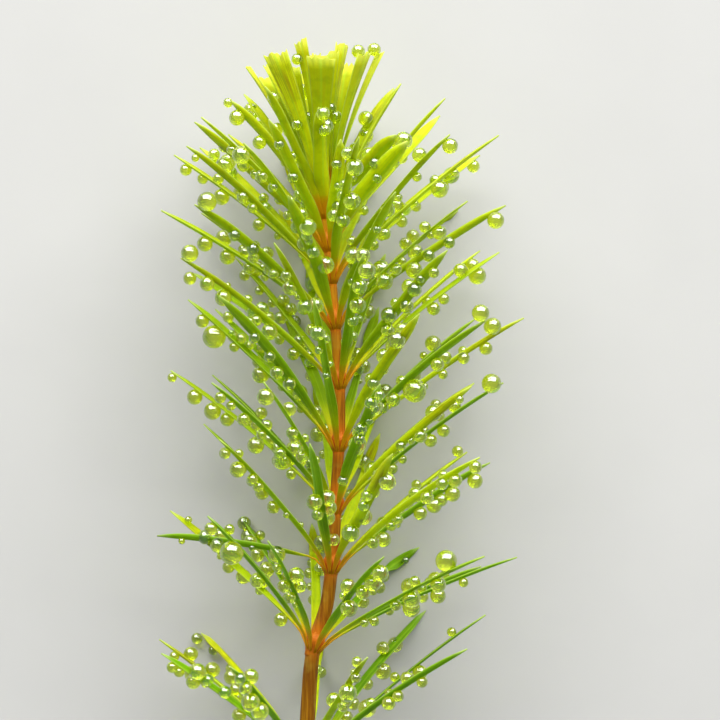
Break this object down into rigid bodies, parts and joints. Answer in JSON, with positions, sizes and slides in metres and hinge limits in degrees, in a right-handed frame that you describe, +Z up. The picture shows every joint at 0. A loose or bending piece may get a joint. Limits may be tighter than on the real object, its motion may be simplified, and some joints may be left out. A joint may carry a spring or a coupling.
{
  "type": "hornwort shoot",
  "caption": "Cut shoot of an underwater plant: narrow leaves in whorls around a brown stem and a tufted growing tip, lying down.",
  "frame": {"origin": "on the table under the middle of the shoot's outline", "axes": "+Y along the stem from the cut end to the growing tip, +Z up from the table, +X to the shoot's right as seen from above with the tip away"},
  "size_m": [0.0482, 0.1007, 0.0364],
  "materials": {
    "stem": "satin, orange-brown, brighter at the nodes",
    "leaf": "satin, translucent green with fine lengthwise veins",
    "crown_leaf": "satin, translucent yellow-green",
    "bead": "clear and glossy"
  },
  "bodies": {
    "root": {"stem": "stem", "whorl_01": "leaf", "whorl_02": "leaf", "whorl_03": "leaf", "whorl_04": "leaf", "whorl_05": "leaf", "whorl_06": "leaf", "whorl_07": "leaf", "whorl_08": "leaf", "whorl_09": "leaf", "whorl_10": "leaf", "crown": "crown_leaf"}
  },
  "joints": []
}
